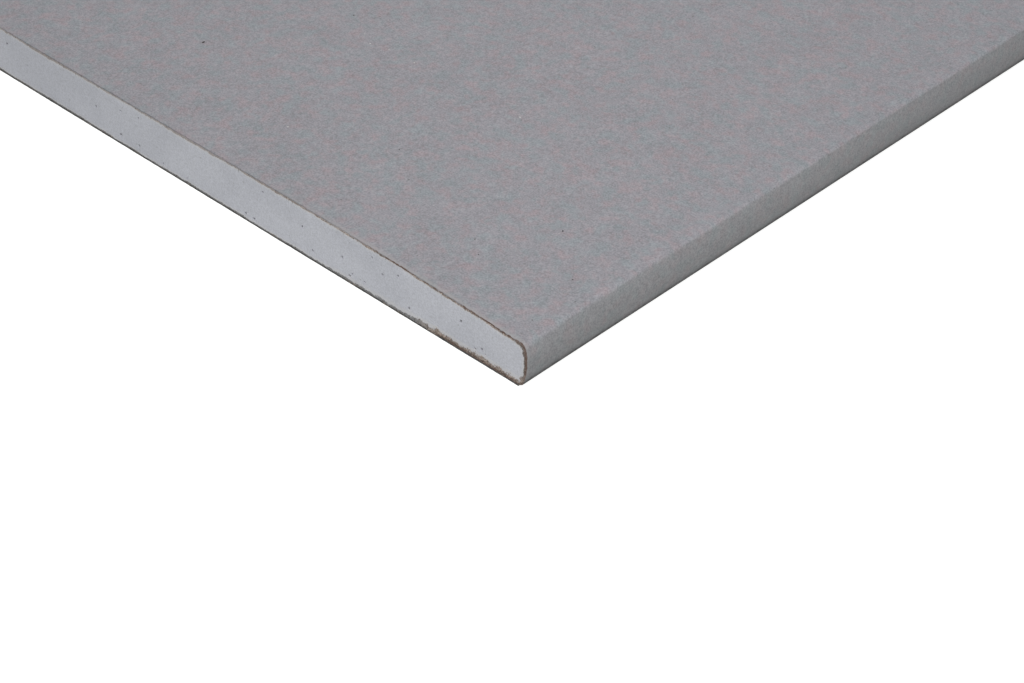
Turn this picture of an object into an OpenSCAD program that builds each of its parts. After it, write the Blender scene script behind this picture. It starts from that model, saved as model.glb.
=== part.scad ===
// Drywall sheet: a gypsum board that lies flat with its face up.
//
// A gypsum core is cast between two papers. The face paper covers the face, goes down round both
// long edges and is folded in under the back, where the back paper is glued over its flanges.
// Beside each long edge the face slopes down a little, so that a filled joint comes out flush.
// Both ends are cut square and show the core between the papers.
//
// X runs across the sheet, Y along it and Z up from the surface that it lies on. Sizes are in mm.

/* [Sheet] */

// Width over the two bound long edges
sheet_width = 1250; // [600:50:1250]
// Length between the two cut ends
sheet_length = 2000; // [1000:100:3000]
// Thickness from back to face, both papers included
sheet_thickness = 12.5; // [9.5:0.5:18]

/* [Bound long edge] */

// Width of the strip beside each long edge where the face slopes down
taper_width = 70; // [40:1:80]
// How far the face has come down where it reaches the edge
taper_depth = 2.1; // [0.6:0.1:2.5]
// Radius of the crease where the face turns down into the side
crease_radius = 1.4; // [1:0.1:3]
// Radius of the slight outward bulge of the side
side_radius = 16; // [12:1:40]
// Radius of the fold where the side turns in under the back
fold_radius = 1.6; // [1:0.1:3]

/* [Papers] */

// Thickness of the face paper
face_paper_thickness = 0.4; // [0.2:0.05:0.6]
// Thickness of the back paper
back_paper_thickness = 0.4; // [0.2:0.05:0.6]
// Width of the flange that the face paper makes under the back, from the outermost edge
flange_width = 24; // [15:1:40]
// Distance of the back paper's edge from the sheet's outermost edge
back_paper_margin = 2.2; // [1:0.1:8]

/* [Hidden] */

edge_x = sheet_width / 2;
flange_tip_x = edge_x - flange_width;

// Straight pieces that stand for each arc of the edge
taper_steps = 16;
crease_steps = 8;
side_steps = 10;
fold_steps = 8;

// The outer surface of the edge is four arcs, each running on smoothly from the one before it.
// The taper leaves the flat face at taper_width and would be taper_depth down at the edge.
taper_radius = (pow(taper_width, 2) + pow(taper_depth, 2)) / (2 * taper_depth);
taper_centre = [edge_x - taper_width, sheet_thickness - taper_radius];
// The side bulges out most at half of the thickness.
side_centre = [edge_x - side_radius, sheet_thickness / 2];
// The crease lies inside the taper and the side and touches both.
crease_centre = right_meeting(
    taper_centre, taper_radius - crease_radius,
    side_centre, side_radius - crease_radius
);
// The fold lies inside the side and touches the top of the back paper.
fold_height = back_paper_thickness + fold_radius;
fold_reach = sqrt(pow(side_radius - fold_radius, 2) - pow(fold_height - side_centre.y, 2));
fold_centre = [side_centre.x + fold_reach, fold_height];

// Angles at which one arc hands over to the next
taper_to_crease = bearing(taper_centre, crease_centre);
crease_to_side = bearing(side_centre, crease_centre);
side_to_fold = bearing(side_centre, fold_centre);

// Direction from one point to another, as an angle
function bearing(from, to) = atan2(to.y - from.y, to.x - from.x);

// The right-hand one of the two points where two circles meet, the second circle being above
function right_meeting(centre_a, radius_a, centre_b, radius_b) =
    let (
        span = norm(centre_b - centre_a),
        up = (centre_b - centre_a) / span,
        along = (pow(radius_a, 2) - pow(radius_b, 2) + pow(span, 2)) / (2 * span),
        across = sqrt(pow(radius_a, 2) - pow(along, 2))
    )
    centre_a + along * up + across * [up.y, -up.x];

// Points of an arc about a centre
function arc(centre, radius, from, to, steps) = [
    for (k = [0 : steps])
        let (angle = from + (to - from) * k / steps)
        centre + radius * [cos(angle), sin(angle)]
];

// The right-hand edge from the flat face round to the tip of the flange, at a depth under the
// outer surface. All depths share the same centres, so the layers stay parallel.
function right_wrap(depth) = concat(
    arc(taper_centre, taper_radius - depth, 90, taper_to_crease, taper_steps),
    arc(crease_centre, crease_radius - depth, taper_to_crease, crease_to_side, crease_steps),
    arc(side_centre, side_radius - depth, crease_to_side, side_to_fold, side_steps),
    arc(fold_centre, fold_radius - depth, side_to_fold, -90, fold_steps),
    [[flange_tip_x, back_paper_thickness + depth]]
);

function reversed(points) = [for (k = [len(points) - 1 : -1 : 0]) points[k]];
function mirrored(points) = [for (p = points) [-p.x, p.y]];

// The whole way round the sheet, from the tip of the left flange over the face to the right one
function wrap(depth) = concat(reversed(mirrored(right_wrap(depth))), right_wrap(depth));

// Runs a section, drawn across the sheet, along its length
module along_sheet() {
    rotate([90, 0, 0])
        linear_extrude(height = sheet_length, center = true)
            children();
}

// Gypsum core: fills the face paper, and reaches down to the back paper between the flanges
module gypsum_core() {
    flange_gap = [[flange_tip_x, back_paper_thickness], [-flange_tip_x, back_paper_thickness]];
    color([0.84, 0.85, 0.87])
        along_sheet()
            polygon(concat(wrap(face_paper_thickness), flange_gap));
}

// Face paper: one strip over the face and round both long edges
module face_paper() {
    color([0.58, 0.57, 0.59])
        along_sheet()
            polygon(concat(wrap(0), reversed(wrap(face_paper_thickness))));
}

// Back paper: a flat strip under the core and the flanges, a little narrower than the sheet
module back_paper() {
    back_paper_width = sheet_width - 2 * back_paper_margin;
    color([0.50, 0.46, 0.42])
        along_sheet()
            translate([-back_paper_width / 2, 0])
                square([back_paper_width, back_paper_thickness]);
}

gypsum_core();
face_paper();
back_paper();
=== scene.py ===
import math
import random

import bmesh
import bpy
from mathutils import Matrix, Vector, noise
from mathutils.bvhtree import BVHTree


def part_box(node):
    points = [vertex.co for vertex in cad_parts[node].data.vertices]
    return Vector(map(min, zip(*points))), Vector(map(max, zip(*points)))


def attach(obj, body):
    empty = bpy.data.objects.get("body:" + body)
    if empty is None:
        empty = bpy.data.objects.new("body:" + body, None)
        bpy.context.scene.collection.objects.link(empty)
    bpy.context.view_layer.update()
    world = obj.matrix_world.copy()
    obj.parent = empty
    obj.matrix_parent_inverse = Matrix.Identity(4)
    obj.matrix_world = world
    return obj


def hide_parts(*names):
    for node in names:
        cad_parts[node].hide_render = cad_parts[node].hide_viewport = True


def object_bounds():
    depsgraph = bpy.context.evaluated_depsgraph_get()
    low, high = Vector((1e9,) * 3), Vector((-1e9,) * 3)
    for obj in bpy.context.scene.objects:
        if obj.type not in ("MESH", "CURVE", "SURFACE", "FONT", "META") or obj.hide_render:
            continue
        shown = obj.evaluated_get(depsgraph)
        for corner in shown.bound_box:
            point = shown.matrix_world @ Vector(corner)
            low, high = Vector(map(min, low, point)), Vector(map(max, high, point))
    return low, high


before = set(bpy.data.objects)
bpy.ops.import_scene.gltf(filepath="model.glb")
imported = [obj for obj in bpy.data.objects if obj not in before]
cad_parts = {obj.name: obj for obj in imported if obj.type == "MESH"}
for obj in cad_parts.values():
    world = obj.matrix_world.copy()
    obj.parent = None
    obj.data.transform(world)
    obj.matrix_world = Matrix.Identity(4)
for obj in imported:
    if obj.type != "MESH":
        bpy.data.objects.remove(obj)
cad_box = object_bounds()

# Gypsum core: foamed plaster cast between the two papers, so only its two sawn ends show.
# The saw leaves a fine matt grain, a few open air pores, and rims that crumble beside the papers,
# where brown dust of the papers is rubbed into them.

MM = 0.001

half_width = cad_box[1].x
half_length = cad_box[1].y
paper_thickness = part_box("face_paper")[1].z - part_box("gypsum_core")[1].z
# The core's corner that the camera looks at: places on the sheet are counted from it
near_corner = Vector((half_width - paper_thickness, -half_length, 0))

# Points of a mesh that lie nearer to each other than this count as one place
touch = 0.001 * MM

# Grain of the sawn ends, and the crumbling of their rims
grain_step = 0.9 * MM
grain_size = 2.5 * MM
grain_relief = 0.05 * MM
grain_jitter = 0.25 * grain_step
jitter_size = 1.1 * MM
unmoved_rim = 0.3 * MM
rim_crumble = 0.16 * MM
crumble_size = 3.5 * MM
crumble_reach = 1.2 * MM
crumble_bias = 0.15

# Pores, each in one whole cell of the grain
large_pores = 90
large_pore_rim = 0.19 * MM
small_pores = 110
small_pore_rim = 0.29 * MM
pore_wall = 0.06 * MM
pore_depth = 0.5 * MM
whole_cell_depth = 0.4 * grain_step
# Large pores beside both bound edges: mm across from the near corner, and mm up.
# The other large pores lie beyond their reach.
seen_pores = (
    (-162, 9), (-121, 3), (-120, 9), (-80, 2), (-77, 2), (-62, 7), (-50, 5),
    (-48, 2), (-47, 3), (-38, 7), (-31, 3), (-17, 7), (-13, 3), (-11, 4),
)
seen_reach = 170 * MM

# Heights on the bound edge's section, and the depth of the flange from the outermost edge
fold_height = 2.5 * MM
mid_height = 6 * MM
crease_height = 9.4 * MM
flange_depth = 24 * MM

# Stretches over which a mark fades out, from where it is full to where it ends: in from the
# bound edge, up from the floor for the dark side, and away from the crease for the crease
nose_stretch = (1.6 * MM, 3.2 * MM)
flange_stretch = (flange_depth, 62 * MM)
brown_stretch = (flange_depth, flange_depth + 6 * MM)
taper_stretch = (50 * MM, 80 * MM)
chalky_stretch = (50 * MM, 90 * MM)
dark_side_stretch = (3 * MM, 1.5 * MM)
crease_stretch = (0.4 * MM, 1.6 * MM)

# Width of the band of paper dust along each part of the rim
nose_dust = 0.42 * MM
crease_dust = 0.80 * MM
taper_dust = 0.36 * MM
face_dust = 0.42 * MM
flange_dust = 1.15 * MM
plain_dust = 0.36 * MM


def merged_copy(node):
    """A closed copy of a CAD node, its doubles merged and its triangles joined to flat faces."""
    bm = bmesh.new()
    bm.from_mesh(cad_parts[node].data)
    bmesh.ops.remove_doubles(bm, verts=bm.verts, dist=2 * touch)
    nearly_flat = math.radians(0.1)
    bmesh.ops.dissolve_limit(bm, angle_limit=nearly_flat, verts=bm.verts, edges=bm.edges)
    return bm


def end_faces(bm):
    """The faces of the two cut ends."""
    return [f for f in bm.faces if abs(f.normal.y) > 0.9]


def cut_to_strips(bm, faces, axis, step):
    """Cuts flat faces across one axis every step and returns all the pieces."""
    low = min(v.co[axis] for f in faces for v in f.verts)
    high = max(v.co[axis] for f in faces for v in f.verts)
    count = round((high - low) / step)
    across = Vector((0, 0, 0))
    across[axis] = 1
    done = []
    rest = faces
    for k in range(1, count):
        place = low + (high - low) * k / count
        edges = dict.fromkeys(e for f in rest for e in f.edges)
        corners = dict.fromkeys(v for f in rest for v in f.verts)
        cut = bmesh.ops.bisect_plane(
            bm, geom=[*rest, *edges, *corners], dist=touch, plane_co=across * place, plane_no=across
        )
        pieces = [g for g in cut["geom"] if isinstance(g, bmesh.types.BMFace)]
        beyond = [f.calc_center_median()[axis] > place for f in pieces]
        done += [f for f, far in zip(pieces, beyond) if not far]
        rest = [f for f, far in zip(pieces, beyond) if far]
    return done + rest


def fade(value, start, end):
    """Falls evenly from 1 at start to 0 at end."""
    return min(1, max(0, (end - value) / (end - start)))


def from_bound_edge(point):
    """How far a point lies from the nearer bound long edge."""
    return half_width - abs(point.x)


def nose_share(point):
    """1 at the rounded bound edge and 0 away from it."""
    return fade(from_bound_edge(point), *nose_stretch)


def flange_share(point):
    """1 over the flange that is folded in under the back, and 0 well past it."""
    return fade(from_bound_edge(point), *flange_stretch)


def dust_width(point):
    """How wide the band of paper dust is on the core's rim at a point of a cut end."""
    if point.z > fold_height:
        at_crease = fade(abs(point.z - crease_height), *crease_stretch)
        side_dust = nose_dust + (crease_dust - nose_dust) * at_crease
        on_taper = fade(from_bound_edge(point), *taper_stretch)
        top_dust = face_dust + (taper_dust - face_dust) * on_taper
        return top_dust + (side_dust - top_dust) * nose_share(point)
    return plain_dust + (flange_dust - plain_dust) * flange_share(point)


def ripple(point, size, seed):
    """Smooth noise from -1 to 1, about one bump for each size."""
    return noise.noise(point / size + Vector((seed, 0.37 * seed, 0.71 * seed)))


def new_piece(name, bm, material):
    """A finished piece at the origin that rides on the sheet, smooth but for its sharp edges."""
    sharp_angle = math.radians(40)
    bm.normal_update()
    for edge in bm.edges:
        edge.smooth = len(edge.link_faces) == 2 and edge.calc_face_angle(0) < sharp_angle
    for face in bm.faces:
        face.smooth = True
    mesh = bpy.data.meshes.new(name)
    bm.to_mesh(mesh)
    bm.free()
    # Normals that came along with a copied node don't fit its new shape
    if "custom_normal" in mesh.attributes:
        mesh.attributes.remove(mesh.attributes["custom_normal"])
    piece = bpy.data.objects.new(name, mesh)
    bpy.context.scene.collection.objects.link(piece)
    mesh.materials.append(material)
    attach(piece, "root")
    return piece


def add_node(tree, kind, inputs=(), **settings):
    """A shader node with its settings made and its sockets set to values or linked."""
    node = tree.nodes.new(kind)
    for key, value in settings.items():
        setattr(node, key, value)
    for key, value in dict(inputs).items():
        if isinstance(value, bpy.types.NodeSocket):
            tree.links.new(value, node.inputs[key])
        else:
            node.inputs[key].default_value = value
    return node


def calculate(tree, operation, first, second=0.0, third=0.0):
    """The output of a Math node."""
    return add_node(tree, "ShaderNodeMath", {0: first, 1: second, 2: third}, operation=operation).outputs[0]


def between(tree, value, low, high):
    """Where a value stands from low to high, eased, from 0 to 1."""
    step = add_node(
        tree, "ShaderNodeMapRange", {"Value": value, "From Min": low, "From Max": high},
        interpolation_type="SMOOTHSTEP",
    )
    return step.outputs["Result"]


def clouds(tree, place, size, offset=0.0):
    """Soft noise about 0.5 with bumps of a size in metres. Each offset gives another noise."""
    moved = add_node(tree, "ShaderNodeVectorMath", {0: place, 1: (offset, offset, offset)}, operation="ADD")
    return add_node(
        tree, "ShaderNodeTexNoise", {"Vector": moved.outputs[0], "Scale": 1 / size, "Detail": 2.0}
    ).outputs["Fac"]


def uneven(tree, place, value, *noises):
    """A value with soft noises about 0 added to it, each given by its size, amount and offset."""
    for size, amount, offset in noises:
        drift = clouds(tree, place, size, offset)
        value = calculate(tree, "ADD", value, calculate(tree, "MULTIPLY_ADD", drift, amount, -0.5 * amount))
    return value


def mixed(tree, factor, first, second, blend="MIX"):
    """Two colours mixed by a factor."""
    mix = tree.nodes.new("ShaderNodeMix")
    mix.data_type = "RGBA"
    mix.blend_type = blend
    for socket, value in ((mix.inputs[0], factor), (mix.inputs[6], first), (mix.inputs[7], second)):
        if isinstance(value, bpy.types.NodeSocket):
            tree.links.new(value, socket)
        else:
            socket.default_value = value
    return mix.outputs[2]


def toned(tree, colour, tone):
    """A colour made paler or darker by a tone about 1."""
    grey = add_node(tree, "ShaderNodeCombineColor", {"Red": tone, "Green": tone, "Blue": tone})
    return mixed(tree, 1.0, colour, grey.outputs["Color"], "MULTIPLY")


def blank_material(name):
    """A material with its own Principled shader, and the shader."""
    material = bpy.data.materials.new(name)
    material.use_nodes = True
    return material, material.node_tree.nodes["Principled BSDF"]


def gypsum_material():
    """Off-white foamed plaster, sawn, with brown dust of the papers along its rims and painted shadow in its
    pores.
    """
    plaster = (0.634, 0.646, 0.702, 1)
    damp_plaster = (0.592, 0.604, 0.659, 1)
    fresh_plaster = (0.720, 0.705, 0.700, 1)
    painted_pore_shadow = (0.40, 0.40, 0.41, 1)
    pale_dust = (0.56, 0.47, 0.41, 1)
    paper_dust = (0.33, 0.255, 0.21, 1)
    grey_dust = (0.24, 0.24, 0.245, 1)
    chalky_dust = (0.44, 0.41, 0.41, 1)
    dark_dust = (0.090, 0.070, 0.060, 1)
    damp_patch = 14 * MM
    bubble_spacing = 2.4 * MM
    bubble_strength = 0.55
    chip_strength = 0.5
    dark_strength = 0.85
    chalk_strength = 0.65
    dust_cover = 0.92
    material, surface = blank_material("gypsum, sawn")
    tree = material.node_tree
    place = add_node(tree, "ShaderNodeTexCoord").outputs["Object"]
    damp = between(tree, clouds(tree, place, damp_patch), 0.35, 0.65)
    colour = mixed(tree, damp, plaster, damp_plaster)
    tone = uneven(tree, place, 1.0, (0.36 * MM, 0.54, 0.0), (1.2 * MM, 0.12, 1.9))
    colour = toned(tree, colour, tone)
    # Painted shadow: small dark dots for tiny air bubbles opened by the saw
    bubbles = add_node(tree, "ShaderNodeTexVoronoi", {"Vector": place, "Scale": 1 / bubble_spacing})
    open_bubble = between(tree, bubbles.outputs["Distance"], 0.11, 0.05)
    colour = mixed(tree, calculate(tree, "MULTIPLY", open_bubble, bubble_strength), colour, painted_pore_shadow)
    # Painted shadow inside the pores that are cut into the mesh
    hollow = add_node(tree, "ShaderNodeAttribute", attribute_name="hollow").outputs["Fac"]
    colour = mixed(tree, hollow, colour, painted_pore_shadow)
    # The distance from the paper, in widths of the dust's band, made uneven
    reach = add_node(tree, "ShaderNodeAttribute", attribute_name="dust_reach").outputs["Fac"]
    frayed = uneven(tree, place, reach, (0.35 * MM, 1.5, 3.1), (1.3 * MM, 1.6, 4.7), (9 * MM, 2.4, 7.7))
    chipped = calculate(tree, "MULTIPLY", between(tree, frayed, 2.6, 1.0), chip_strength)
    colour = mixed(tree, chipped, colour, fresh_plaster)
    darkness = add_node(tree, "ShaderNodeAttribute", attribute_name="dust_darkness").outputs["Fac"]
    fleck = clouds(tree, place, 0.32 * MM, 5.3)
    brownness = add_node(tree, "ShaderNodeAttribute", attribute_name="dust_brownness").outputs["Fac"]
    dust = mixed(tree, between(tree, fleck, 0.51, 0.61), paper_dust, pale_dust)
    dust = mixed(tree, brownness, grey_dust, dust)
    dark = calculate(tree, "MAXIMUM", darkness, between(tree, fleck, 0.46, 0.38))
    dust = mixed(tree, calculate(tree, "MULTIPLY", dark, dark_strength), dust, dark_dust)
    paleness = add_node(tree, "ShaderNodeAttribute", attribute_name="dust_paleness").outputs["Fac"]
    dust = mixed(tree, calculate(tree, "MULTIPLY", paleness, chalk_strength), dust, chalky_dust)
    dusty = between(tree, frayed, 1.0, 0.55)
    colour = mixed(tree, calculate(tree, "MULTIPLY", dusty, dust_cover), colour, dust)
    height = calculate(tree, "MULTIPLY_ADD", open_bubble, -0.3, tone)
    bump = add_node(tree, "ShaderNodeBump", {"Height": height, "Strength": 0.35, "Distance": 0.08 * MM})
    tree.links.new(colour, surface.inputs["Base Color"])
    tree.links.new(bump.outputs["Normal"], surface.inputs["Normal"])
    surface.inputs["Roughness"].default_value = 0.95
    surface.inputs["Specular IOR Level"].default_value = 0.2
    return material


core = merged_copy("gypsum_core")
# The core's skin without its ends: how far a point lies from the papers is measured to it
papered = core.copy()
bmesh.ops.delete(papered, geom=end_faces(papered), context="FACES_ONLY")
papered_skin = BVHTree.FromBMesh(papered)
papered.free()

dust_reach = core.verts.layers.float.new("dust_reach")
dust_darkness = core.verts.layers.float.new("dust_darkness")
dust_brownness = core.verts.layers.float.new("dust_brownness")
dust_paleness = core.verts.layers.float.new("dust_paleness")
hollow = core.verts.layers.float.new("hollow")
# Each straight stretch of the ends' rims: its start, its run, and its inward and outward directions
rims = []
pore_draw = random.Random(12)
for end in end_faces(core):
    outward = end.normal.copy()
    for loop in end.loops:
        start = loop.vert.co.copy()
        along = loop.link_loop_next.vert.co - start
        rims.append((start, along, outward.cross(along).normalized(), outward))
    strips = cut_to_strips(core, [end], 2, grain_step)
    cells = cut_to_strips(core, strips, 0, grain_step)
    corners = dict.fromkeys(v for f in cells for v in f.verts)
    depth = {v: papered_skin.find_nearest(v.co)[3] for v in corners}
    inner = [f for f in cells if min(depth[v] for v in f.verts) > whole_cell_depth]
    centres = {f: f.calc_center_median() for f in inner}
    strewn = [f for f in inner if from_bound_edge(centres[f]) > seen_reach]
    large = pore_draw.sample(strewn, large_pores)
    for across, up in seen_pores:
        for side in (-1, 1):
            x = side * (near_corner.x + across * MM)
            z = up * MM
            large.append(min(inner, key=lambda f: (centres[f].x - x) ** 2 + (centres[f].z - z) ** 2))
    large = list(dict.fromkeys(large))
    small = [f for f in pore_draw.sample(inner, small_pores) if f not in large]
    for v in corners:
        inset = from_bound_edge(v.co)
        v[dust_reach] = depth[v] / dust_width(v.co)
        v[dust_darkness] = nose_share(v.co) * fade(v.co.z, *dark_side_stretch)
        v[dust_brownness] = fade(inset, *brown_stretch)
        if v.co.z > mid_height:
            v[dust_brownness] = 1
            v[dust_paleness] = 1 - fade(inset, *chalky_stretch)
        v.co += outward * grain_relief * ripple(v.co, grain_size, 1)
        crumbled = max(0, ripple(v.co, crumble_size, 2) + crumble_bias)
        v.co -= outward * rim_crumble * crumbled * fade(depth[v], 0, crumble_reach)
        if depth[v] > unmoved_rim:
            v.co.x += grain_jitter * ripple(v.co, jitter_size, 3)
            v.co.z += grain_jitter * ripple(v.co, jitter_size, 4)
    bmesh.ops.inset_individual(core, faces=large, thickness=large_pore_rim, depth=0)
    bmesh.ops.inset_individual(core, faces=small, thickness=small_pore_rim, depth=0)
    bmesh.ops.inset_individual(core, faces=large + small, thickness=pore_wall, depth=-pore_depth)
    for v in dict.fromkeys(v for f in large + small for v in f.verts):
        v[hollow] = 1

gypsum_body = new_piece("gypsum_body", core, gypsum_material())
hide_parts("gypsum_core")

# Face paper: grey recycled paper, drawn over the face, down round both long edges and in under the
# back while the plaster is wet. Its side is pressed smooth, with painted shade at its foot where the fold
# turns under to the floor, and its crease wavers a little. The saw crushes the crease at the ends, and
# leaves the cut ply brown and ragged.

# Two narrow rows beside each cut end, and the raggedness of the rim itself
torn_row = 0.3 * MM
sound_row = 1.0 * MM
torn_step = 0.5 * MM
torn_depth = 0.10 * MM
ragged_size = 1.3 * MM
frayed_size = 0.45 * MM
frayed_share = 0.7
untorn = -2
nose_bareness = 0.75

# Forms of the bound edge
edge_zone = 24 * MM
edge_step = 3 * MM
crease_lift = 0.38 * MM
far_lift_share = 0.25
crease_waver = 0.25 * MM
waver_size = 11 * MM
crease_sharpening = 0.6 * MM
nose_swell = 0.20 * MM

# Where they are full and where they end: up from the floor, in from the bound edge and in from the end
crease_heights = (9.5 * MM, 7 * MM)
swollen_heights = (8 * MM, 4 * MM)
crease_strip = (2 * MM, edge_zone)
crushed_length = (2 * MM, 10 * MM)
swollen_length = (30 * MM, 120 * MM)
lifted_length = (35 * MM, 60 * MM)

# The same for the marks on the paper, with how strong they are
# Painted shade: the foot of the side, where the fold turns under to the floor, darkened towards the floor
side_shade_heights = (1.4 * MM, 3.4 * MM)
side_shade_strength = 0.9
foot_shade_heights = (1.1 * MM, 1.7 * MM)
foot_shade_strength = 0.3
pressed_heights = (9.2 * MM, 10.2 * MM)
chalky_strip = (40 * MM, 75 * MM)
bare_strip = (20 * MM, 60 * MM)
torn_outside_strip = (15 * MM, 85 * MM)
rim_dust = 1.35
rim_dust_loss = 1.60
rim_dust_swing = 2.2
rim_dust_patch = 38 * MM


def cut_end_rows(bm):
    """Cuts two narrow rows round the paper beside each cut end."""
    for row in (torn_row, sound_row):
        for side in (-1, 1):
            everything = [*bm.verts, *bm.edges, *bm.faces]
            at = Vector((0, side * (half_length - row), 0))
            bmesh.ops.bisect_plane(bm, geom=everything, dist=touch, plane_co=at, plane_no=(0, 1, 0))


def divide_long(bm, edges, step):
    """Divides edges into pieces of about a step, each set of like edges in one go."""
    by_cuts = {}
    for edge in edges:
        cuts = round(edge.calc_length() / step) - 1
        if cuts > 0:
            by_cuts.setdefault(cuts, []).append(edge)
    for cuts, like in by_cuts.items():
        bmesh.ops.subdivide_edges(bm, edges=like, cuts=cuts)


def end_distance(point):
    """How far a point lies from the nearer cut end."""
    return half_length - abs(point.y)


def is_across(edge):
    """True for an edge that runs across the sheet and not along it."""
    return abs(edge.verts[0].co.y - edge.verts[1].co.y) < 10 * touch


def is_flange_tip(edge):
    """True for the short upright edge where a flange ends under the back."""
    first, second = (v.co for v in edge.verts)
    return abs(first.x - second.x) < touch and abs(first.x) < half_width - 0.5 * edge_zone


def is_outer(point):
    """True on the outer surface of the face paper, and false where it lies on the core."""
    return papered_skin.find_nearest(point)[3] > 0.5 * paper_thickness


def tear_rim(bm, seed, depth, outer_ply):
    """Makes the rim at both ends ragged, and marks how brown its inner and outer edges are."""
    torn = bm.verts.layers.float.new("torn")
    for v in bm.verts:
        v[torn] = untorn
        if end_distance(v.co) < 0.5 * torn_row:
            bared = nose_bareness * nose_share(v.co) if v.co.z > fold_height else 1
            sound = outer_ply(v.co) * (1 - bared)
            v[torn] = sound + bared if is_outer(v.co) else 1
            raggedness = ripple(v.co, ragged_size, seed) + frayed_share * ripple(v.co, frayed_size, seed + 1)
            v.co.y += math.copysign(depth, v.co.y) * raggedness


def face_outer_ply(point):
    """How torn the outer edge of the face paper's rim is: most on the taper."""
    return -1 + 1.5 * fade(from_bound_edge(point), *torn_outside_strip)


def paper_pulp_group():
    """Recycled paper: fine fibre speckle, clouds of pulp, faint streaks along it and rare dark specks."""
    fibre_size = 0.36 * MM
    felt_size = 1.1 * MM
    rosy_size = 2.6 * MM
    cool_size = 2.9 * MM
    streak_width = 45 * MM
    streak_scale_along = 0.05
    speck_spacing = 2.2 * MM
    speck_strength = 0.6
    group = bpy.data.node_groups.new("recycled paper pulp", "ShaderNodeTree")
    for name, kind in (
        ("Place", "NodeSocketVector"), ("Pulp", "NodeSocketColor"), ("Rosy", "NodeSocketColor"),
        ("Cool", "NodeSocketColor"), ("Speck", "NodeSocketColor"),
    ):
        group.interface.new_socket(name, in_out="INPUT", socket_type=kind)
    group.interface.new_socket("Colour", in_out="OUTPUT", socket_type="NodeSocketColor")
    group.interface.new_socket("Tone", in_out="OUTPUT", socket_type="NodeSocketFloat")
    group.interface.new_socket("Relief", in_out="OUTPUT", socket_type="NodeSocketFloat")
    given = group.nodes.new("NodeGroupInput").outputs
    place = given["Place"]
    fibre = clouds(group, place, fibre_size)
    felt = clouds(group, place, felt_size, 1.3)
    rosy = between(group, clouds(group, place, rosy_size, 4.1), 0.42, 0.72)
    cool = between(group, clouds(group, place, cool_size, 6.3), 0.42, 0.72)
    colour = mixed(group, rosy, given["Pulp"], given["Rosy"])
    colour = mixed(group, cool, colour, given["Cool"])
    tone = uneven(group, place, 1.0, (fibre_size, 0.86, 0.0), (felt_size, 0.36, 1.3))
    tone = uneven(group, place, tone, (5 * MM, 0.17, 2.7), (120 * MM, 0.06, 5.9))
    drawn_out = add_node(group, "ShaderNodeMapping", {"Vector": place, "Scale": (1, streak_scale_along, 1)})
    tone = uneven(group, drawn_out.outputs["Vector"], tone, (streak_width, 0.10, 3.7))
    colour = toned(group, colour, tone)
    cells = add_node(group, "ShaderNodeTexVoronoi", {"Vector": place, "Scale": 1 / speck_spacing})
    rare = add_node(group, "ShaderNodeSeparateColor", {"Color": cells.outputs["Color"]}).outputs["Red"]
    speck_size = calculate(group, "MULTIPLY", calculate(group, "POWER", rare, 12.0), 0.10)
    speck = calculate(group, "LESS_THAN", cells.outputs["Distance"], speck_size)
    colour = mixed(group, calculate(group, "MULTIPLY", speck, speck_strength), colour, given["Speck"])
    relief = calculate(group, "MULTIPLY_ADD", fibre, 0.6, felt)
    result = group.nodes.new("NodeGroupOutput").inputs
    group.links.new(colour, result["Colour"])
    group.links.new(tone, result["Tone"])
    group.links.new(relief, result["Relief"])
    return group


paper_pulp = paper_pulp_group()


def paper_material(name, pulp, rosy, cool, cut_ply, dusted_ply):
    """A paper that is brown and dusty where it is cut, with the marks and painted shade that its mesh has.
    """
    speck = (0.10, 0.10, 0.10, 1)
    # Colour of the painted shade at the foot of the side
    shade_colour = (0.075, 0.075, 0.075, 1)
    chalk = (0.42, 0.40, 0.395, 1)
    pressed_pulp = (0.327, 0.334, 0.336, 1)
    chalk_strength = 0.40
    pressed_strength = 0.45
    material, surface = blank_material(name)
    tree = material.node_tree
    place = add_node(tree, "ShaderNodeTexCoord").outputs["Object"]
    sheet = add_node(
        tree, "ShaderNodeGroup", {"Place": place, "Pulp": pulp, "Rosy": rosy, "Cool": cool, "Speck": speck},
        node_tree=paper_pulp,
    )
    chalky = add_node(tree, "ShaderNodeAttribute", attribute_name="chalky").outputs["Fac"]
    chalked = calculate(tree, "MULTIPLY", chalky, chalk_strength)
    colour = mixed(tree, chalked, sheet.outputs["Colour"], chalk)
    pressed = add_node(tree, "ShaderNodeAttribute", attribute_name="pressed").outputs["Fac"]
    smooth_pulp = toned(tree, pressed_pulp, sheet.outputs["Tone"])
    colour = mixed(tree, calculate(tree, "MULTIPLY", pressed, pressed_strength), colour, smooth_pulp)
    # Painted shade: the foot of the side darkened patchily towards the floor, where the fold turns under
    painted_shade = add_node(tree, "ShaderNodeAttribute", attribute_name="painted_shade").outputs["Fac"]
    patchy = uneven(tree, place, 0.95, (0.5 * MM, 1.3, 14.9), (2.5 * MM, 0.9, 16.1))
    colour = mixed(tree, calculate(tree, "MULTIPLY", painted_shade, patchy), colour, shade_colour)
    torn = add_node(tree, "ShaderNodeAttribute", attribute_name="torn").outputs["Fac"]
    cut = between(tree, uneven(tree, place, torn, (0.7 * MM, 2.4, 8.3), (6 * MM, 1.6, 12.1)), 0.35, 0.75)
    dusted = add_node(tree, "ShaderNodeAttribute", attribute_name="dusted").outputs["Fac"]
    dusted = uneven(tree, place, dusted, (0.4 * MM, 1.2, 9.7), (5 * MM, 1.6, 10.9))
    ply = mixed(tree, dusted, cut_ply, dusted_ply)
    colour = mixed(tree, cut, colour, ply)
    bump = add_node(
        tree, "ShaderNodeBump", {"Height": sheet.outputs["Relief"], "Strength": 0.25, "Distance": 0.08 * MM}
    )
    tree.links.new(colour, surface.inputs["Base Color"])
    tree.links.new(bump.outputs["Normal"], surface.inputs["Normal"])
    surface.inputs["Roughness"].default_value = 0.9
    surface.inputs["Specular IOR Level"].default_value = 0.25
    return material


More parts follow.
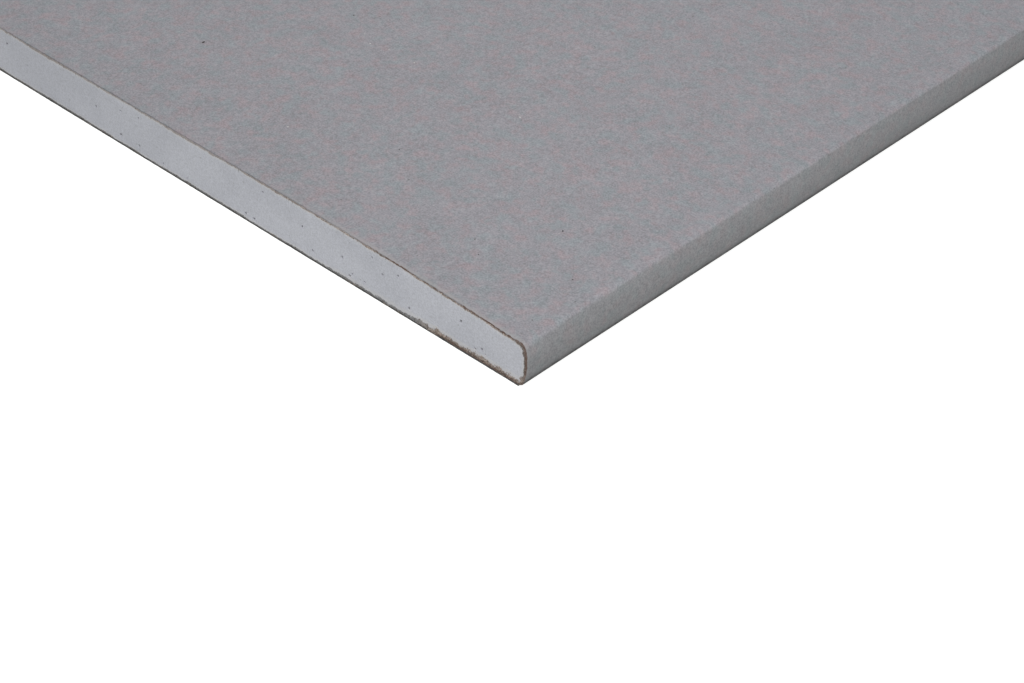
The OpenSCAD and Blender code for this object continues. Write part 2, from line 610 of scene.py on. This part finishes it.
face_paper = merged_copy("face_paper")
bmesh.ops.delete(face_paper, geom=end_faces(face_paper), context="FACES_ONLY")
cut_end_rows(face_paper)
rim_rows = [e for e in face_paper.edges if is_across(e) and end_distance(e.verts[0].co) < 1.5 * torn_row]
divide_long(face_paper, rim_rows, torn_step)
# The cut rims are closed again by strips between the paper's outer and inner outlines
for side in (-1, 1):
    rim = [e for e in face_paper.edges if e.is_boundary and e.verts[0].co.y * side > 0]
    bmesh.ops.bridge_loops(face_paper, edges=[e for e in rim if not is_flange_tip(e)])
bmesh.ops.recalc_face_normals(face_paper, faces=face_paper.faces)

edge_rails = [
    e for e in face_paper.edges
    if not is_across(e) and e.calc_length() > half_length and e.verts[0].co.z > fold_height
    and from_bound_edge(e.verts[0].co) < edge_zone and is_outer(e.verts[0].co)
]
divide_long(face_paper, edge_rails, edge_step)
painted_shade = face_paper.verts.layers.float.new("painted_shade")
dusted = face_paper.verts.layers.float.new("dusted")
chalky = face_paper.verts.layers.float.new("chalky")
pressed = face_paper.verts.layers.float.new("pressed")
for v in face_paper.verts:
    inset = from_bound_edge(v.co)
    from_end = end_distance(v.co)
    # Painted shade at the foot of the side, darker towards the floor
    v[painted_shade] = side_shade_strength * fade(v.co.z, *side_shade_heights) ** 2
    v[painted_shade] += foot_shade_strength * fade(v.co.z, *foot_shade_heights)
    v[pressed] = nose_share(v.co) * fade(v.co.z, *pressed_heights)
    v[chalky] = fade(inset, *chalky_strip) * fade(from_end, torn_row, sound_row)
    dust_left = rim_dust - rim_dust_loss * fade(inset, *bare_strip)
    v[dusted] = min(1, max(0, dust_left + rim_dust_swing * ripple(v.co, rim_dust_patch, 5)))
    if v.co.z > fold_height and is_outer(v.co):
        outward = papered_skin.find_nearest(v.co)[1]
        waver = ripple(Vector((v.co.x, v.co.y, 0)), waver_size, 5)
        lift_share = far_lift_share + (1 - far_lift_share) * fade(from_end, *lifted_length)
        lift = crease_lift * lift_share + crease_waver * waver
        swell = nose_swell * nose_share(v.co) * fade(v.co.z, *swollen_heights)
        at_crease = fade(inset, *crease_strip) * fade(v.co.z, *crease_heights)
        uncrushed = at_crease * (1 - fade(from_end, *crushed_length))
        v.co += outward * swell * fade(from_end, *swollen_length)
        v.co.x += math.copysign(crease_sharpening * uncrushed * (1 - abs(outward.x)), v.co.x)
        v.co.z += (crease_sharpening * (1 - outward.z) + lift) * uncrushed
tear_rim(face_paper, 11, torn_depth, face_outer_ply)
face_skin = BVHTree.FromBMesh(face_paper)

face_sheet = new_piece(
    "face_paper_sheet", face_paper,
    paper_material(
        "face paper, grey", pulp=(0.305, 0.298, 0.322, 1), rosy=(0.333, 0.2915, 0.311, 1),
        cool=(0.283, 0.3025, 0.323, 1), cut_ply=(0.165, 0.112, 0.092, 1), dusted_ply=(0.42, 0.385, 0.375, 1),
    ),
)
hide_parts("face_paper")

# Back paper: a plainer, darker paper, a little narrower than the sheet, glued under the core and
# over the folded-in flanges of the face paper. It is sawn through with the rest at both ends.

back_torn_depth = 0.4 * torn_depth

back_paper = merged_copy("back_paper")
cut_end_rows(back_paper)
rim_rows = [e for e in back_paper.edges if is_across(e) and end_distance(e.verts[0].co) < 1.5 * torn_row]
divide_long(back_paper, [e for e in rim_rows if e.calc_length() > half_width], torn_step)
tear_rim(back_paper, 21, back_torn_depth, lambda point: 1)

# The cut rim is painted near black: the grey cut ply is darkened with painted contact shadow where the sheet
# meets the floor
back_sheet = new_piece(
    "back_paper_sheet", back_paper,
    paper_material(
        "back paper, grey-brown", pulp=(0.265, 0.240, 0.215, 1), rosy=(0.285, 0.240, 0.205, 1),
        cool=(0.245, 0.240, 0.225, 1), cut_ply=(0.072, 0.072, 0.072, 1), dusted_ply=(0.125, 0.125, 0.125, 1),
    ),
)
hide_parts("back_paper")

# Torn fibres: the saw tears the papers, and short brown fibres stay in their cut rims. Most lie
# flat over the core, thickest round the bound edges and over the folded-in flanges.

fibre_step = 0.5 * MM
fibre_thickness = 0.10 * MM
shortest_fibre = 0.25 * MM
longest_fibre = 0.90 * MM
tuft_length = 40 * MM
# Fibres in each millimetre of a plain rim, and how many more stand in a thick one
plain_rim_fibres = 0.7
thick_rim_fibres = 8
clump_size = 4 * MM
clump_swing = 1.6
thinnest_clump = 0.15
flange_tip_stretch = (flange_depth, flange_depth + 3 * MM)
# Widest angle to either side, and least and most rise, of a fibre that lies over the core
fibre_splay = 1.2
least_rise = 0.05
most_rise = 0.4
deepest_root = 0.6 * paper_thickness
root_clearance = 0.04 * MM


def fibres_per_mm(point):
    """How many fibres stand in each millimetre of a rim at a point."""
    clumps = max(thinnest_clump, 1 + clump_swing * ripple(point, clump_size, 31))
    over_flange = fade(from_bound_edge(point), *flange_tip_stretch)
    thick_share = nose_share(point) if point.z > mid_height else over_flange
    return clumps * (plain_rim_fibres + thick_rim_fibres * thick_share)


def fibre_material():
    """Brown recycled pulp, a little different in each fibre."""
    pale_fibre = (0.56, 0.45, 0.38, 1)
    dark_fibre = (0.075, 0.058, 0.048, 1)
    material, surface = blank_material("torn paper fibre")
    tree = material.node_tree
    place = add_node(tree, "ShaderNodeTexCoord").outputs["Object"]
    shade = add_node(tree, "ShaderNodeAttribute", attribute_name="shade").outputs["Fac"]
    mottled = uneven(tree, place, shade, (0.2 * MM, 0.6, 0.0))
    colour = mixed(tree, mottled, dark_fibre, pale_fibre)
    tree.links.new(colour, surface.inputs["Base Color"])
    surface.inputs["Roughness"].default_value = 0.95
    surface.inputs["Specular IOR Level"].default_value = 0.2
    return material


def add_fibre(bm, root, heading, length, tone):
    """A thin spindle from its root out to a point."""
    turn = heading.to_track_quat("Z", "Y").to_matrix().to_4x4()
    made = bmesh.ops.create_cone(
        bm, cap_ends=True, segments=3, radius1=0.5 * fibre_thickness, radius2=0, depth=length,
        matrix=Matrix.Translation(root + heading * 0.5 * length) @ turn,
    )
    for v in made["verts"]:
        v[bm.verts.layers.float["shade"]] = tone


fibre_draw = random.Random(7)


def tuft(start, along, inward, outward):
    """The fibres of one short stretch of a rim, as a mesh of their own."""
    bm = bmesh.new()
    bm.verts.layers.float.new("shade")
    steps = max(1, round(along.length / fibre_step))
    for k in range(steps):
        place = start + along * (k + fibre_draw.random()) / steps
        wanted = fibres_per_mm(place) * along.length / steps / MM
        for _ in range(int(wanted + fibre_draw.random())):
            splay = fibre_draw.uniform(-fibre_splay, fibre_splay)
            heading = inward * math.cos(splay) + along.normalized() * math.sin(splay)
            heading = (heading + outward * fibre_draw.uniform(least_rise, most_rise)).normalized()
            root = place - inward * fibre_draw.uniform(0, deepest_root) + outward * root_clearance
            length = fibre_draw.uniform(shortest_fibre, longest_fibre) * (1 - 0.5 * nose_share(place))
            add_fibre(bm, root, heading, length, fibre_draw.random() ** 2)
    mesh = bpy.data.meshes.new("tuft")
    bm.to_mesh(mesh)
    bm.free()
    return mesh


fibres = bmesh.new()
for start, along, inward, outward in rims:
    count = math.ceil(along.length / tuft_length)
    for k in range(count):
        fibres.from_mesh(tuft(start + along * k / count, along / count, inward, outward))

torn_fibres = new_piece("torn_paper_fibres", fibres, fibre_material())

# Specks on the face: white crumbs of dry plaster that the saw dropped, and dark flecks of old print
# in the recycled pulp. Both are pressed flat into the paper, a few of them large enough to see.

# Specks that stand out: mm across and along from the near corner, and the radius in mm
crumb_places = (
    (-53, 53, 0.20), (-85, 53, 0.20), (-93, 53, 0.16), (-98, 52, 0.20), (-102, 54, 0.16), (-85, 17, 0.18),
)
fleck_places = (
    (-125, 27, 0.38), (-7, 20, 0.20), (-19, 30, 0.20), (-62, 27, 0.18), (-29, 16, 0.16), (-25, 13, 0.16),
    (-110, 58, 0.25), (-4, 6, 0.16),
)
stray_specks = 140
stray_share = 0.99
smallest_speck = 0.10 * MM
largest_speck = 0.20 * MM
speck_flatness = 0.5
speck_draw = random.Random(3)


def speck_piece(name, places, material):
    """Small uneven lumps that lie flat on the face, half sunk, at given places and strewn all over."""
    bm = bmesh.new()
    spots = [(near_corner + Vector((across, along, 0)) * MM, size * MM) for across, along, size in places]
    for _ in range(stray_specks):
        across = speck_draw.uniform(-stray_share, stray_share) * half_width
        along = speck_draw.uniform(-stray_share, stray_share) * half_length
        spots.append((Vector((across, along, 0)), speck_draw.uniform(smallest_speck, largest_speck)))
    for spot, size in spots:
        ground = face_skin.ray_cast(Vector((spot.x, spot.y, 1)), Vector((0, 0, -1)))[0]
        length = speck_draw.uniform(0.9, 1.4)
        breadth = speck_draw.uniform(0.7, 1)
        flattened = Matrix.Diagonal((length, breadth, speck_flatness, 1))
        turned = Matrix.Rotation(speck_draw.uniform(0, math.pi), 4, "Z")
        at = Matrix.Translation(ground)
        bmesh.ops.create_icosphere(bm, subdivisions=1, radius=size, matrix=at @ turned @ flattened)
    return new_piece(name, bm, material)


def speck_material(name, clean, soiled):
    """A dry matt speck, a little soiled."""
    soil_patch = 0.6 * MM
    material, surface = blank_material(name)
    tree = material.node_tree
    place = add_node(tree, "ShaderNodeTexCoord").outputs["Object"]
    soil = between(tree, clouds(tree, place, soil_patch), 0.35, 0.65)
    tree.links.new(mixed(tree, soil, clean, soiled), surface.inputs["Base Color"])
    surface.inputs["Roughness"].default_value = 0.95
    surface.inputs["Specular IOR Level"].default_value = 0.2
    return material


plaster = speck_material("plaster crumb", clean=(0.62, 0.61, 0.60, 1), soiled=(0.50, 0.49, 0.48, 1))
plaster_crumbs = speck_piece("plaster_crumbs", crumb_places, plaster)
print_fleck = speck_material("dark pulp fleck", clean=(0.055, 0.055, 0.06, 1), soiled=(0.11, 0.10, 0.10, 1))
dark_flecks = speck_piece("dark_flecks", fleck_places, print_fleck)

# Floor and surroundings: a plain pale studio floor that shows white and keeps the sheet's shadow,
# under an even white dome.

floor_half = 40.0
floor_drop = 0.1 * MM
floor_colour = (0.450, 0.457, 0.440, 1)
floor_glow = 0.86
dome_strength = 0.373

floor_mesh = bmesh.new()
bmesh.ops.create_grid(
    floor_mesh, x_segments=1, y_segments=1, size=floor_half, matrix=Matrix.Translation((0, 0, -floor_drop))
)
floor = bpy.data.objects.new("floor", bpy.data.meshes.new("floor"))
floor_mesh.to_mesh(floor.data)
floor_mesh.free()
bpy.context.scene.collection.objects.link(floor)


def seen_directly(tree):
    """1 where the eye, a mirror or clear glass looks straight at a thing, and 0 for its light."""
    path = tree.nodes.new("ShaderNodeLightPath").outputs
    mirrored = calculate(tree, "MAXIMUM", path["Is Glossy Ray"], path["Is Transmission Ray"])
    return calculate(tree, "MAXIMUM", path["Is Camera Ray"], mirrored)


def floor_material():
    """Pale matt floor, lifted to white where it is looked at."""
    material, surface = blank_material("studio floor")
    tree = material.node_tree
    surface.inputs["Base Color"].default_value = floor_colour
    surface.inputs["Roughness"].default_value = 1.0
    surface.inputs["Specular IOR Level"].default_value = 0.0
    surface.inputs["Emission Color"].default_value = (1, 1, 1, 1)
    glow = calculate(tree, "MULTIPLY", seen_directly(tree), floor_glow)
    tree.links.new(glow, surface.inputs["Emission Strength"])
    return material


floor.data.materials.append(floor_material())

world = bpy.data.worlds.new("white dome")
world.use_nodes = True
bpy.context.scene.world = world
dome = world.node_tree.nodes["Background"]
dome.inputs["Color"].default_value = (1, 1, 1, 1)
brighter_seen = calculate(world.node_tree, "MULTIPLY", seen_directly(world.node_tree), 1 - dome_strength)
shown_white = calculate(world.node_tree, "ADD", brighter_seen, dome_strength)
world.node_tree.links.new(shown_white, dome.inputs["Strength"])

# Camera: a 75 mm lens close over the near corner, looking down on the face along the diagonal
# between the cut end and the long edge.

camera_offset = Vector((214.4, -218.8, 248.6)) * MM
camera_heading = math.radians(44.86)
camera_down = math.radians(37.752)
camera_roll = math.radians(-0.62)
camera_lens = 75.33
film_width = 36

camera_data = bpy.data.cameras.new("camera")
camera_data.lens = camera_lens
camera_data.sensor_width = film_width
camera_data.clip_start = 0.01
camera = bpy.data.objects.new("camera", camera_data)
turn = Matrix.Rotation(camera_heading, 4, "Z") @ Matrix.Rotation(math.pi / 2 - camera_down, 4, "X")
turn = turn @ Matrix.Rotation(camera_roll, 4, "Z")
camera.matrix_world = Matrix.Translation(near_corner + camera_offset) @ turn
bpy.context.scene.collection.objects.link(camera)
bpy.context.scene.camera = camera
bpy.context.scene.view_settings.view_transform = "Standard"

# Lamps: one broad soft key from above and a little to the front, and a weak soft spot from behind
# the camera on the face beside the near corner.

key_from = Vector((0.35, -0.30, 0.89))
key_strength = 1.58
key_softness = math.radians(50)
spot_aim = near_corner + Vector((-35, 35, 12.5)) * MM
spot_from = 3 * camera_offset
spot_strength = 16.5
spot_spread = math.radians(12.6)

key_lamp = bpy.data.lights.new("soft key", "SUN")
key_lamp.energy = key_strength
key_lamp.angle = key_softness
key = bpy.data.objects.new("soft key", key_lamp)
key.rotation_euler = key_from.to_track_quat("Z", "Y").to_euler()
bpy.context.scene.collection.objects.link(key)

spot_lamp = bpy.data.lights.new("corner spot", "SPOT")
spot_lamp.energy = spot_strength
spot_lamp.spot_size = spot_spread
spot_lamp.spot_blend = 1
spot_lamp.shadow_soft_size = 0.1
spot = bpy.data.objects.new("corner spot", spot_lamp)
spot.location = spot_aim + spot_from
spot.rotation_euler = spot_from.to_track_quat("Z", "Y").to_euler()
bpy.context.scene.collection.objects.link(spot)
